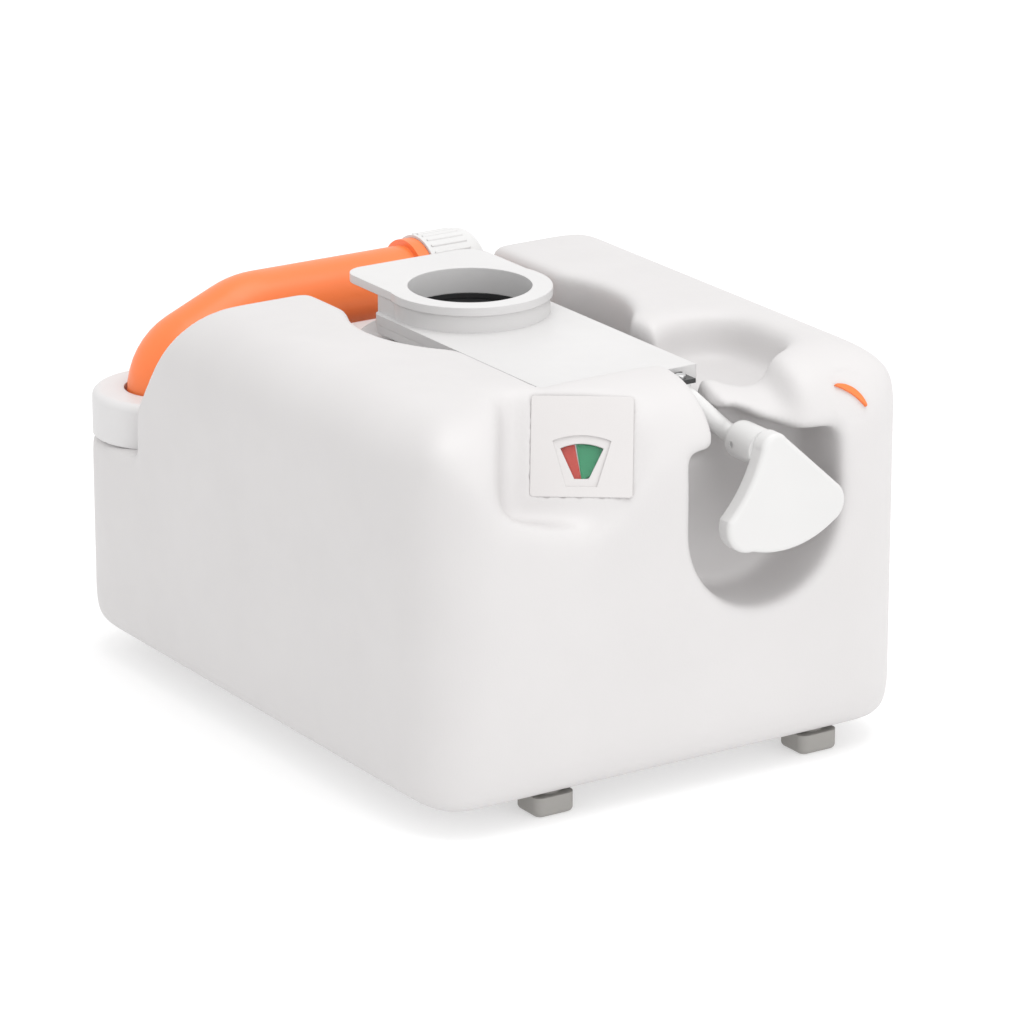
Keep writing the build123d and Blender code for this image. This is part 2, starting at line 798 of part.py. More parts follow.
with BuildPart() as handle_pin:
    add(cross_bar(screw_radius, hub_radius - pin_sink))
save(handle_pin, "handle_pin")

# ================================================================ spout
nose_z = spout_riser_z - gasket_thickness - spout_nose
nozzle_end_x = tube_end_x + nozzle_length
nozzle_radius = cap_radius - cap_wall - thread_clearance
collar_top_z = shelf_z + collar_height
flange_space_top_z = spout_riser_z + spout_flange_thickness + blade_clearance
cap_start_x = tube_end_x + blade_clearance
cap_bore_end_x = cap_start_x + nozzle_length + gasket_thickness


def tube_bar(radius, end_x):
    """A round bar on the spout's centreline: up from the nose, slanting over, along +X."""
    route_points = [
        (spout_x, spout_y, nose_z),
        (spout_x, spout_y, shelf_z + tube_rise),
        (spout_x + tube_slant_run, spout_y, tube_axis_z),
        (end_x, spout_y, tube_axis_z),
    ]
    with BuildPart() as piece:
        with BuildLine() as route:
            FilletPolyline(*route_points, radius=(tube_lower_bend, tube_upper_bend))
        with BuildSketch(Plane.XY.offset(nose_z)):
            with Locations((spout_x, spout_y)):
                Circle(radius)
        sweep(path=route.line)
    return piece.part


def riser_disc(radius, low_z, high_z, hole=0.0):
    """A level disc or ring on the spout's swivel axis."""
    with BuildPart() as piece:
        with BuildSketch(Plane.XY.offset(low_z)):
            with Locations((spout_x, spout_y)):
                Circle(radius)
                if hole > 0:
                    Circle(hole, mode=Mode.SUBTRACT)
        extrude(amount=high_z - low_z)
    return piece.part


def run_disc(radius, start_x, end_x):
    """A disc square to the spout's straight run."""
    with BuildPart() as piece:
        with BuildSketch(Plane(origin=(start_x, spout_y, tube_axis_z), x_dir=(0, 1, 0), z_dir=(1, 0, 0))):
            Circle(radius)
        extrude(amount=end_x - start_x)
    return piece.part


with BuildPart() as spout_tube:
    add(tube_bar(tube_radius, tube_end_x))
    add(riser_disc(spout_flange_radius, spout_riser_z, spout_riser_z + spout_flange_thickness))
    add(run_disc(tube_radius + bead_height, tube_end_x - bead_width, tube_end_x))
    add(run_disc(nozzle_radius, tube_end_x - wall, nozzle_end_x))
    add(tube_bar(tube_radius - tube_wall, nozzle_end_x), mode=Mode.SUBTRACT)
save(spout_tube, "spout_tube")

with BuildPart() as spout_seal:
    add(riser_disc(spout_flange_radius - neck_relief, spout_riser_z - gasket_thickness,
                   spout_riser_z - seal_gap, tube_radius + thread_clearance))
save(spout_seal, "spout_seal")

with BuildPart() as spout_collar:
    add(riser_disc(collar_radius, shelf_z, collar_top_z))
    fillet(spout_collar.edges().group_by(Axis.Z)[-1], collar_edge_radius)
    add(riser_disc(spout_flange_radius + blade_clearance, shelf_z, flange_space_top_z), mode=Mode.SUBTRACT)
    add(riser_disc(tube_radius + collar_lip_clearance, shelf_z, collar_top_z), mode=Mode.SUBTRACT)
save(spout_collar, "spout_collar")

with BuildPart() as spout_cap:
    add(run_disc(cap_radius, cap_start_x, cap_start_x + cap_length))
    fillet(spout_cap.edges().group_by(Axis.X)[-1], cap_edge_radius)
    with BuildSketch(Plane(origin=(cap_start_x + wall, spout_y, tube_axis_z), x_dir=(0, 1, 0), z_dir=(1, 0, 0))):
        with PolarLocations(cap_radius - blade_clearance, cap_rib_count):
            Circle(cap_rib_radius)
    extrude(amount=cap_length - cap_edge_radius - 2 * wall)
    add(run_disc(nozzle_radius + thread_clearance, cap_start_x, cap_bore_end_x), mode=Mode.SUBTRACT)
save(spout_cap, "spout_cap")

with BuildPart() as cap_gasket:
    add(run_disc(nozzle_radius, nozzle_end_x + seal_gap, cap_bore_end_x))
save(cap_gasket, "cap_gasket")

# ================================================================ level indicator
tray_floor_w = tray_floor - indicator_pocket_depth
cover_under_w = indicator_proud - plate_thickness
lens_under_w = cover_under_w - lens_thickness
dial_under_w = tray_floor_w + dial_gap
foil_under_w = dial_under_w + dial_thickness
bush_top_w = tray_floor_w
bush_flange_top_w = -indicator_pocket_depth - wall
bush_flange_w = bush_flange_top_w - bush_flange_thickness
arm_top_w = bush_flange_w - arm_gap
arm_under_w = arm_top_w - arm_thickness
arm_slope = radians(float_droop)
arm_tip = (-float_reach * cos(arm_slope), -pivot_drop - float_reach * sin(arm_slope))


def facet_square(side, low_w, high_w):
    """A square slab on the indicator's axes, between two depths."""
    with BuildPart() as piece:
        with BuildSketch(facet.offset(low_w)):
            Rectangle(side, side)
        extrude(amount=high_w - low_w)
    return piece.part


def facet_round(radius, low_w, high_w, place=(0, -pivot_drop)):
    """A round bar square to the indicator's face, on the dial's pivot unless placed."""
    with BuildPart() as piece:
        with BuildSketch(facet.offset(low_w)):
            with Locations(place):
                Circle(radius)
        extrude(amount=high_w - low_w)
    return piece.part


def window(grow, low_w, high_w):
    """The window's fan shape: an arc over two converging sides and a flat foot."""
    half = radians(window_half_angle)
    reach = window_radius + grow
    top_x = reach * sin(half) + grow / 2
    top_y = reach * cos(half) - window_centre_drop
    foot_y = -window_floor_drop - grow
    foot_x = (window_centre_drop - window_floor_drop) * sin(half) / cos(half) + grow
    with BuildPart() as piece:
        with BuildSketch(facet.offset(low_w)):
            with BuildLine():
                ThreePointArc((-top_x, top_y), (0, reach - window_centre_drop), (top_x, top_y))
                Polyline((top_x, top_y), (foot_x, foot_y), (-foot_x, foot_y), (-top_x, top_y))
            make_face()
        extrude(amount=high_w - low_w)
    return piece.part


def sector(radius, start_angle, end_angle, low_w, high_w):
    """A sector round the pivot; angles run clockwise from the dial's top."""
    span = [radians(start_angle), radians((start_angle + end_angle) / 2), radians(end_angle)]
    rim = [(radius * sin(angle), radius * cos(angle) - pivot_drop) for angle in span]
    with BuildPart() as piece:
        with BuildSketch(facet.offset(low_w)):
            with BuildLine():
                ThreePointArc(rim[0], rim[1], rim[2])
                Polyline(rim[2], (0, -pivot_drop), rim[0])
            make_face()
        extrude(amount=high_w - low_w)
    return piece.part


with BuildPart() as indicator_tray:
    add(facet_square(plate_size, -indicator_pocket_depth, cover_under_w))
    add(facet_square(plate_size - 2 * tray_rim, tray_floor_w, cover_under_w), mode=Mode.SUBTRACT)
    add(facet_round(bush_radius, -indicator_pocket_depth, tray_floor_w), mode=Mode.SUBTRACT)
save(indicator_tray, "indicator_tray")

with BuildPart() as indicator_cover:
    add(facet_square(plate_size, cover_under_w, indicator_proud))
    fillet(indicator_cover.edges().filter_by(Axis((0, 0, 0), facet_outward)), tray_rim)
    add(window(window_border, indicator_proud - window_border_depth, indicator_proud), mode=Mode.SUBTRACT)
    add(window(0, cover_under_w, indicator_proud), mode=Mode.SUBTRACT)
save(indicator_cover, "indicator_cover")

with BuildPart() as indicator_lens:
    add(window(window_border / 2, lens_under_w, cover_under_w))
save(indicator_lens, "indicator_lens")

with BuildPart() as dial_plate:
    add(sector(dial_radius, dial_left_angle, dial_right_angle, dial_under_w, foil_under_w))
    add(facet_round(dial_hub_radius, dial_under_w, foil_under_w))
save(dial_plate, "dial_plate")

foil_top_w = foil_under_w + foil_thickness
foil_radius = dial_radius - foil_margin
with BuildPart() as dial_red_sector:
    add(sector(foil_radius, dial_left_angle + foil_margin_angle, -divider_angle - divider_half, foil_under_w, foil_top_w))
save(dial_red_sector, "dial_red_sector")

with BuildPart() as dial_green_sector:
    add(sector(foil_radius, divider_half - divider_angle, dial_right_angle - foil_margin_angle, foil_under_w, foil_top_w))
save(dial_green_sector, "dial_green_sector")

with BuildPart() as dial_shaft:
    add(facet_round(shaft_radius, arm_under_w, dial_under_w))
save(dial_shaft, "dial_shaft")

with BuildPart() as shaft_bush:
    add(facet_round(bush_radius, bush_flange_top_w, bush_top_w))
    add(facet_round(bush_radius + wall, bush_flange_w, bush_flange_top_w))
    add(facet_round(shaft_radius + running_clearance, bush_flange_w, bush_top_w), mode=Mode.SUBTRACT)
save(shaft_bush, "shaft_bush")

with BuildPart() as float_arm:
    with BuildSketch(facet.offset(arm_under_w)):
        with Locations((arm_tip[0] / 2, (arm_tip[1] - pivot_drop) / 2)):
            SlotCenterToCenter(float_reach, arm_width, rotation=float_droop)
        with Locations((0, -pivot_drop)):
            Circle(shaft_radius, mode=Mode.SUBTRACT)
    extrude(amount=arm_thickness)
save(float_arm, "float_arm")

with BuildPart() as level_float:
    add(facet_round(float_radius, arm_under_w - float_length, arm_under_w, arm_tip))
    fillet(level_float.edges(), float_edge)
save(level_float, "level_float")

# ================================================================ air vent
button_top_w = -wall - vent_seal_thickness
button_under_w = button_top_w - vent_floor
vent_seat_w = vent_floor - vent_body_depth
stem_end_w = -vent_body_depth - stem_proud
cup_bore_radius = vent_disc_radius + thread_clearance


def vent_round(radius, low_w, high_w):
    """A round bar on the vent button's axis, between two depths."""
    with BuildPart() as piece:
        with BuildSketch(vent.offset(low_w)):
            Circle(radius)
        extrude(amount=high_w - low_w)
    return piece.part


with BuildPart() as vent_body:
    add(vent_round(cup_bore_radius + vent_cup_wall, -vent_body_depth, wall))
    add(vent_round(cup_bore_radius, vent_seat_w, wall), mode=Mode.SUBTRACT)
    add(vent_round(vent_stem_radius + running_clearance, -vent_body_depth, vent_seat_w), mode=Mode.SUBTRACT)
    add(cavity.part, mode=Mode.INTERSECT)
save(vent_body, "vent_body")

with BuildPart() as vent_button:
    add(crescent(button_top_w, button_proud))
    add(vent_round(vent_disc_radius, button_under_w, button_top_w))
    add(vent_round(vent_stem_radius, stem_end_w, button_under_w))
save(vent_button, "vent_button")

with BuildPart() as vent_seal:
    add(vent_round(vent_disc_radius, button_top_w + seal_gap, wall))
    add(crescent(button_top_w, 2 * wall, blade_clearance), mode=Mode.SUBTRACT)
    add(cavity.part, mode=Mode.INTERSECT)
save(vent_seal, "vent_seal")

# A short rubber bellows between the button's disc and the cup's floor, drawn pressed.
bellows_floor_w = vent_seat_w + vent_travel
fold_height = (button_under_w - bellows_floor_w) / bellows_folds
fold_heights = [bellows_floor_w + fold_height * step / 2 for step in range(2 * bellows_folds + 1)]
fold_radii = [bellows_inner_radius + bellows_depth * (step % 2) for step in range(2 * bellows_folds + 1)]
inner_side = list(zip(fold_radii, fold_heights))
outer_side = [(radius + bellows_wall, height) for radius, height in reversed(inner_side)]
bellows_section = Plane(origin=vent.origin, x_dir=vent_across, z_dir=vent_across.cross(vent_outward))
with BuildPart() as vent_bellows:
    with BuildSketch(bellows_section):
        with BuildLine():
            Polyline(*inner_side, *outer_side, close=True)
        make_face()
    revolve(axis=Axis(vent.origin, vent_outward))
save(vent_bellows, "vent_bellows")

# ================================================================ feet
for name, place in foot_places.items():
    with BuildPart() as foot:
        with BuildSketch():
            with Locations(place):
                RectangleRounded(foot_width, foot_length, foot_corner)
        extrude(amount=foot_drop)
        fillet(foot.edges().group_by(Axis.Z)[0], foot_edge)
        with BuildSketch(Plane.XY.offset(base_z)):
            with Locations(place):
                Circle(foot_plug_radius)
        extrude(amount=foot_plug_height)
    save(foot, name)
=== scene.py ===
import json
import math

import bpy
import numpy as np
from mathutils import Matrix, Vector


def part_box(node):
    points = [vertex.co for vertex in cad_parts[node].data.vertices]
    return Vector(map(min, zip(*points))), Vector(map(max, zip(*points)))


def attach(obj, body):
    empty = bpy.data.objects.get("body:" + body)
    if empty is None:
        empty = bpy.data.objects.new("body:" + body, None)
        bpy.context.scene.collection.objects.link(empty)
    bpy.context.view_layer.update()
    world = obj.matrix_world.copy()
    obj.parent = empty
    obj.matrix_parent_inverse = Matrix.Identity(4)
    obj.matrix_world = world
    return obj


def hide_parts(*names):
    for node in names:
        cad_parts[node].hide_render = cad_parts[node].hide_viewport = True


# The waste-holding tank of a portable camp toilet, in metres. Places come from the CAD nodes'
# boxes and from the named sizes of the skin's pockets.
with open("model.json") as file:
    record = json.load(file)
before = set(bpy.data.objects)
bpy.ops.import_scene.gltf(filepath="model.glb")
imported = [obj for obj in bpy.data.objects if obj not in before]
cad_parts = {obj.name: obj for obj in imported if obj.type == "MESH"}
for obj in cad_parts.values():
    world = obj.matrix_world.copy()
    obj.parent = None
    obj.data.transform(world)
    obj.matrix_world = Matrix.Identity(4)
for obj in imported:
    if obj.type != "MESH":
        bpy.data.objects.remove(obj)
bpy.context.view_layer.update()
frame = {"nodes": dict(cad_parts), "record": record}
nodes = frame["nodes"]
MM = 0.001


# ------------------------------------------------------------------ materials
BUMP_STRENGTH = 0.7


def principled(name, colour, roughness, **uniform):
    """A material with one Principled shader, its uniform values set on the sockets."""
    material = bpy.data.materials.new(name)
    material.use_nodes = True
    tree = material.node_tree
    tree.nodes.clear()
    output = tree.nodes.new("ShaderNodeOutputMaterial")
    shader = tree.nodes.new("ShaderNodeBsdfPrincipled")
    tree.links.new(shader.outputs["BSDF"], output.inputs["Surface"])
    shader.inputs["Base Color"].default_value = (*colour, 1.0)
    shader.inputs["Roughness"].default_value = roughness
    for socket, value in uniform.items():
        shader.inputs[socket.replace("_", " ")].default_value = value
    return material, tree, shader


def noise(tree, scale, detail=3.0, stretch=(1, 1, 1)):
    """A noise texture in object space, as many lumps per metre as scale."""
    coordinates = tree.nodes.new("ShaderNodeTexCoord")
    mapping = tree.nodes.new("ShaderNodeMapping")
    mapping.inputs["Scale"].default_value = stretch
    texture = tree.nodes.new("ShaderNodeTexNoise")
    texture.inputs["Scale"].default_value = scale
    texture.inputs["Detail"].default_value = detail
    tree.links.new(coordinates.outputs["Object"], mapping.inputs["Vector"])
    tree.links.new(mapping.outputs["Vector"], texture.inputs["Vector"])
    return texture.outputs["Fac"]


def remap(tree, value, low, high):
    """Maps a 0..1 value onto low..high."""
    node = tree.nodes.new("ShaderNodeMapRange")
    node.inputs["From Min"].default_value = 0.3
    node.inputs["From Max"].default_value = 0.7
    node.inputs["To Min"].default_value = low
    node.inputs["To Max"].default_value = high
    tree.links.new(value, node.inputs["Value"])
    return node.outputs["Result"]


def tint(tree, shader, colour, value, spread):
    """Varies the base colour by spread, lighter and darker, with a noise value."""
    mix = tree.nodes.new("ShaderNodeMix")
    mix.data_type = "RGBA"
    mix.inputs["A"].default_value = (*[c * (1 - spread) for c in colour], 1)
    mix.inputs["B"].default_value = (*[min(1, c * (1 + spread)) for c in colour], 1)
    tree.links.new(remap(tree, value, 0, 1), mix.inputs["Factor"])
    tree.links.new(mix.outputs["Result"], shader.inputs["Base Color"])


def bumps(tree, shader, heights, edge=0.0):
    """Chains bump maps (value, depth in metres) over a rounded-edge normal."""
    normal = None
    if edge > 0:
        rounding = tree.nodes.new("ShaderNodeBevel")
        rounding.samples = 6
        rounding.inputs["Radius"].default_value = edge
        normal = rounding.outputs["Normal"]
    for value, depth in heights:
        bump = tree.nodes.new("ShaderNodeBump")
        bump.inputs["Strength"].default_value = BUMP_STRENGTH
        bump.inputs["Distance"].default_value = depth
        tree.links.new(value, bump.inputs["Height"])
        if normal is not None:
            tree.links.new(normal, bump.inputs["Normal"])
        normal = bump.outputs["Normal"]
    tree.links.new(normal, shader.inputs["Normal"])


def moulded(name, colour, roughness, grain=1400, depth=0.00004, spread=0.02, edge=0.0008, **uniform):
    """Moulded plastic or rubber: fine grain, slow waviness, uneven gloss and soft edges."""
    material, tree, shader = principled(name, colour, roughness, **uniform)
    tint(tree, shader, colour, noise(tree, 14, 4), spread)
    sheen = remap(tree, noise(tree, 60, 3), roughness * 0.9, min(1, roughness * 1.12))
    tree.links.new(sheen, shader.inputs["Roughness"])
    heights = [(noise(tree, 22, 2), 0.00025), (noise(tree, grain, 2), depth)]
    bumps(tree, shader, heights, edge)
    return material


def brushed_metal(name, colour):
    """Zinc-plated steel with fine turning marks."""
    material, tree, shader = principled(name, colour, 0.32, Metallic=1.0)
    tint(tree, shader, colour, noise(tree, 400, 3, (1, 1, 0.05)), 0.08)
    bumps(tree, shader, [(noise(tree, 2600, 2, (1, 1, 0.05)), 0.00002)], 0.0003)
    return material


def clear_plastic(name):
    """A thin clear moulded window."""
    material, tree, shader = principled(name, (0.97, 0.98, 0.98), 0.06, Transmission_Weight=1.0, IOR=1.2)
    bumps(tree, shader, [(noise(tree, 90, 2), 0.00003)])
    return material


finish = {
    "tank_plastic": moulded("tank_plastic", (0.60, 0.585, 0.583), 0.48, 900, 0.00006, 0.015, 0.0),
    "seal_rubber": moulded("seal_rubber", (0.02, 0.02, 0.021), 0.55),
    "valve_plastic": moulded("valve_plastic", (0.62, 0.612, 0.61), 0.38),
    "ring_plastic": moulded("ring_plastic", (0.64, 0.63, 0.63), 0.42),
    "screw_steel": brushed_metal("screw_steel", (0.6, 0.6, 0.6)),
    "blade_plastic": moulded("blade_plastic", (0.02, 0.02, 0.021), 0.3),
    "rod_plastic": moulded("rod_plastic", (0.68, 0.675, 0.67), 0.38),
    "handle_plastic": moulded("handle_plastic", (0.64, 0.635, 0.63), 0.34),
    "spout_plastic": moulded("spout_plastic", (0.90, 0.20, 0.05), 0.36),
    "cap_plastic": moulded("cap_plastic", (0.66, 0.655, 0.65), 0.4),
    "indicator_plastic": moulded("indicator_plastic", (0.63, 0.61, 0.605), 0.42),
    "lens_plastic": clear_plastic("lens_plastic"),
    "dial_plastic": moulded("dial_plastic", (0.7, 0.7, 0.7), 0.5),
    "dial_red": moulded("dial_red", (0.65, 0.09, 0.07), 0.4),
    "dial_green": moulded("dial_green", (0.06, 0.34, 0.17), 0.4),
    "float_foam": moulded("float_foam", (0.6, 0.57, 0.5), 0.8),
    "vent_plastic": moulded("vent_plastic", (0.90, 0.20, 0.05), 0.36),
    "foot_rubber": moulded("foot_rubber", (0.3, 0.29, 0.275), 0.7),
}

slot_of = {entry["node"]: entry["material_slot"] for entry in frame["record"]["subparts"]}
for node_name, slot_name in slot_of.items():
    node = nodes[node_name]
    node.data.materials.clear()
    node.data.materials.append(finish[slot_name])


# ------------------------------------------------------------------ tank skin
# The skin is the zero level of a distance field on a grid: the body's outline with
# each pocket taken away, blurred so that every edge is as soft as a blow moulding's.
GRID = 2.5 * MM
SOFT_BODY = 5.0 * MM
SOFT_EDGE = 4.0 * MM
SOFT_POCKET = 5.5 * MM
SKIN_WALL = 8.0 * MM
FAR = 1.0

PLAN_CORNER = 44 * MM
SIDE_SHOULDER = 38 * MM
FRONT_SHOULDER = 50 * MM
LOWER_EDGE = 23 * MM

WELL_DEPTH = 43 * MM
WELL_RADIUS = 82 * MM
WELL_SETBACK = 22 * MM
PLATE_STEP = 16 * MM
PLATE_HALF_WIDTH = 58 * MM
PLATE_FRONT_Y = -144 * MM
REAR_LEFT_X = -70 * MM
REAR_RIGHT_X = 72 * MM
LEDGE_Y = 143 * MM
PLATEAU_DEPTH = 84 * MM
PLATEAU_SWEEP_HEIGHT = 70 * MM
LEFT_SWEEP = 48 * MM
RIGHT_SWEEP = 22 * MM
COLLAR_ROOM = 44 * MM

RECESS_X = 56 * MM
RECESS_RADIUS = 51 * MM
RECESS_CENTRE_DROP = 84 * MM
RECESS_TOP_Z = 200 * MM
RECESS_DEPTH = 45 * MM
ROD_LEFT_X = 24 * MM
ROD_RIGHT_X = 46 * MM
ROD_DEPTH = 56 * MM
ROD_REACH = 6 * MM
HUB_X = 54 * MM
HUB_DROP = 42.5 * MM
HUB_ROOM = 14.5 * MM
HUB_SETBACK = 48 * MM
SLOPE_START = 66 * MM
SLOPE_DROP = 8 * MM
SLOPE_X = (30 * MM, 84 * MM)
SLOPE_NORMAL = (0.414, 0.910)
GRIP_X = (54 * MM, 114 * MM)
GRIP_Y = (50 * MM, 126 * MM)
GRIP_DEPTH = 28 * MM
GRIP_CORNER = 26 * MM

NOTCH_SINK = 0.3 * MM
NOTCH_BELOW = 46 * MM
NOTCH_LEFT = 45 * MM
NOTCH_RIGHT = 80 * MM
TRAY_HALF = 27.0 * MM
TRAY_DEPTH = 8 * MM
BUSH_DROP = 18.5 * MM
BUSH_ROOM = 8.6 * MM
BUSH_DEPTH = 24 * MM

NECK_HOLE = 50 * MM
SPIGOT_HOLE = 22.2 * MM
HOLE_DEPTH = 20 * MM
VENT_POINT = (118 * MM, -197.9 * MM, 216.2 * MM)
VENT_OUTWARD = (-0.8387, 0.5446)
VENT_COVER_SINK = 0.3 * MM
VENT_COVER_RADIUS = 15 * MM
VENT_COVER_DEPTH = 19 * MM
VENT_ROOM = 13.5 * MM
VENT_MIDDLE_DEPTH = 10 * MM
VENT_HALF_DEPTH = 5.2 * MM

low, high = [Vector(corner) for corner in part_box("tank_shell")]
centre_y = (low.y + high.y) / 2
margin = 4 * GRID
axes = [np.arange(low[i] - margin, high[i] + margin + GRID, GRID) for i in range(3)]
X, Y, Z = np.meshgrid(*axes, indexing="ij")


def blur(field, sigma):
    """Gaussian blur of a grid, sigma in metres."""
    reach = int(math.ceil(3 * sigma / GRID))
    taps = np.exp(-0.5 * (np.arange(-reach, reach + 1) * GRID / sigma) ** 2)
    taps /= taps.sum()
    for axis in range(3):
        widths = [(reach, reach) if i == axis else (0, 0) for i in range(3)]
        padded = np.pad(field, widths, mode="reflect", reflect_type="odd")
        count = field.shape[axis]
        total = np.zeros_like(field)
        for k, tap in enumerate(taps):
            window = [slice(k, k + count) if i == axis else slice(None) for i in range(3)]
            total += tap * padded[tuple(window)]
        field = total
    return field


def rounded_rectangle(u, v, u_span, v_span, radius):
    """Distance to a rounded rectangle; the radius may vary over the grid."""
    a = np.abs(u - (u_span[0] + u_span[1]) / 2) - (u_span[1] - u_span[0]) / 2 + radius
    b = np.abs(v - (v_span[0] + v_span[1]) / 2) - (v_span[1] - v_span[0]) / 2 + radius
    return np.hypot(np.maximum(a, 0), np.maximum(b, 0)) + np.minimum(np.maximum(a, b), 0) - radius


def box_space(x_span, y_span, z_low, corner=0.0):
    """Distance to an upright pocket, open at the top."""
    return np.maximum(rounded_rectangle(X, Y, x_span, y_span, corner), z_low - Z)


def round_space(centre_x, centre_line_y, radius, z_low):
    """Distance to a round upright pocket, open at the top."""
    return np.maximum(np.hypot(X - centre_x, Y - centre_line_y) - radius, z_low - Z)


def rear_space(x_span, sweep, foot_y, sweep_height, shelf):
    """Distance to the room over the rear shelf, behind one plateau's swept wall."""
    slope = math.atan2(sweep, sweep_height)
    swept = (high.z - sweep_height - Z) * math.sin(slope) - (Y - foot_y) * math.cos(slope)
    behind = np.maximum(np.minimum(swept, foot_y - Y), shelf - Z)
    return np.maximum(behind, np.maximum(x_span[0] - X, X - x_span[1]))


def surface_net(field):
    """Vertices and quads of a grid's zero level, one vertex in each crossed cell."""
    inside = field < 0
    shape = tuple(n - 1 for n in field.shape)
    total = np.zeros(shape + (3,))
    crossings = np.zeros(shape)
    quads = []
    index = -np.ones(shape, dtype=np.int64)
    corner = [slice(0, n) for n in shape]
    for axis in range(3):
        first = [slice(None)] * 3
        second = [slice(None)] * 3
        first[axis], second[axis] = slice(0, -1), slice(1, None)
        a, b = field[tuple(first)], field[tuple(second)]
        crossed = (a < 0) != (b < 0)
        share = np.where(crossed, a / np.where(crossed, a - b, 1), 0)
        others = [i for i in range(3) if i != axis]
        for du in (0, 1):
            for dv in (0, 1):
                window = list(corner)
                window[others[0]] = slice(du, du + shape[others[0]])
                window[others[1]] = slice(dv, dv + shape[others[1]])
                hit = crossed[tuple(window)]
                crossings += hit
                total[..., axis] += np.where(hit, share[tuple(window)], 0)
                total[..., others[0]] += hit * du
                total[..., others[1]] += hit * dv
    active = crossings > 0
    index[active] = np.arange(active.sum())
    cells = np.argwhere(active)
    places = cells + total[active] / crossings[active][:, None]
    for axis in range(3):
        others = [(axis + 1) % 3, (axis + 2) % 3]
        first = [slice(1, -1)] * 3
        second = [slice(1, -1)] * 3
        first[axis], second[axis] = slice(0, -1), slice(1, None)
        starts = inside[tuple(first)]
        edges = np.argwhere(starts != inside[tuple(second)])
        flips = starts[tuple(edges.T)]
        base = edges + [0 if i == axis else 1 for i in range(3)]
        ring = []
        for du, dv in ((1, 1), (0, 1), (0, 0), (1, 0)):
            cell = base.copy()
            cell[:, others[0]] -= du
            cell[:, others[1]] -= dv
            ring.append(index[tuple(cell.T)])
        ring = np.stack(ring, axis=1)
        ring[~flips] = ring[~flips][:, ::-1]
        quads.append(ring)
    return places, np.concatenate(quads)


def grid_value(field, places):
    """Reads a grid between its points, places in grid steps."""
    cell = np.clip(np.floor(places).astype(int), 0, np.array(field.shape) - 2)
    part = places - cell
    value = np.zeros(len(places))
    for i in (0, 1):
        for j in (0, 1):
            for k in (0, 1):
                weight = (
                    np.abs(1 - i - part[:, 0]) * np.abs(1 - j - part[:, 1]) * np.abs(1 - k - part[:, 2])
                )
                value += weight * field[cell[:, 0] + i, cell[:, 1] + j, cell[:, 2] + k]
    return value


def field_mesh(name, field):
    """A smooth mesh of a grid's zero level, with normals read from the grid."""
    places, quads = surface_net(field)
    slopes = np.gradient(field)
    for _ in range(3):
        normal = np.stack([grid_value(slope, places) for slope in slopes], axis=1)
        length = np.maximum(np.linalg.norm(normal, axis=1, keepdims=True), 1e-9)
        step = grid_value(field, places)[:, None] / length
        places = places - normal / length * np.clip(step, -0.5, 0.5)
    normal = np.stack([grid_value(slope, places) for slope in slopes], axis=1)
    normal /= np.maximum(np.linalg.norm(normal, axis=1, keepdims=True), 1e-9)
    points = places * GRID + np.array([axis[0] for axis in axes])
    mesh = bpy.data.meshes.new(name)
    mesh.from_pydata(points.tolist(), [], quads.tolist())
    mesh.shade_smooth()
    mesh.normals_split_custom_set_from_vertices(normal.tolist())
    piece = bpy.data.objects.new(name, mesh)
    bpy.context.collection.objects.link(piece)
    return piece


def body_outline():
    """The body: a plan with round corners under round shoulders, over a round bottom."""
    middle_z = (low.z + high.z) / 2
    upper = Z > middle_z
    plan = rounded_rectangle(X, Y, (low.x, high.x), (low.y, high.y), PLAN_CORNER)
    side_radius = np.where(upper, SIDE_SHOULDER, LOWER_EDGE)
    across = rounded_rectangle(X, Z, (low.x, high.x), (low.z, high.z), side_radius)
    end_radius = np.where(upper & (Y < centre_y), FRONT_SHOULDER, LOWER_EDGE)
    along = rounded_rectangle(Y, Z, (low.y, high.y), (low.z, high.z), end_radius)
    return blur(np.maximum(np.maximum(plan, across), along), SOFT_BODY)


# The indicator's face: its middle, and its across, up-slope and outward directions.
cover_low, cover_high = [Vector(corner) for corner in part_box("indicator_cover")]
FACE_TURN = math.radians(35)
FACE_TILT = math.radians(28)
face_out = Vector((
    -math.sin(FACE_TURN) * math.cos(FACE_TILT),
    -math.cos(FACE_TURN) * math.cos(FACE_TILT),
    math.sin(FACE_TILT),
))
face_across = Vector((math.cos(FACE_TURN), -math.sin(FACE_TURN), 0))
face_up = face_out.cross(face_across)
COVER_THICKNESS = 2.5 * MM
face_centre = (cover_low + cover_high) / 2 + face_out * (COVER_THICKNESS / 2)


def on_face(direction, origin):
    """Grid distances along one direction from a point."""
    return (X - origin.x) * direction.x + (Y - origin.y) * direction.y + (Z - origin.z) * direction.z


def joined(spaces):
    """Distance to several spaces taken together."""
    together = spaces[0]
    for space in spaces[1:]:
        together = np.minimum(together, space)
    return together


def common(spaces):
    """Distance to what several spaces have in common."""
    shared = spaces[0]
    for space in spaces[1:]:
        shared = np.maximum(shared, space)
    return shared


def gentle_pockets(u, v, w):
    """The shallow pockets with the softest edges: bridge slope, grip and indicator notch."""
    slope = (Y - low.y - SLOPE_START) * SLOPE_NORMAL[0] - (Z - high.z + SLOPE_DROP) * SLOPE_NORMAL[1]
    slope = common([slope, SLOPE_X[0] - X, X - SLOPE_X[1]])
    grip_y = (low.y + GRIP_Y[0], low.y + GRIP_Y[1])
    grip = box_space(GRIP_X, grip_y, high.z - GRIP_DEPTH, GRIP_CORNER)
    notch = common([-w - NOTCH_SINK, -NOTCH_BELOW - v, -NOTCH_LEFT - u, u - NOTCH_RIGHT])
    return joined([slope, grip, notch])


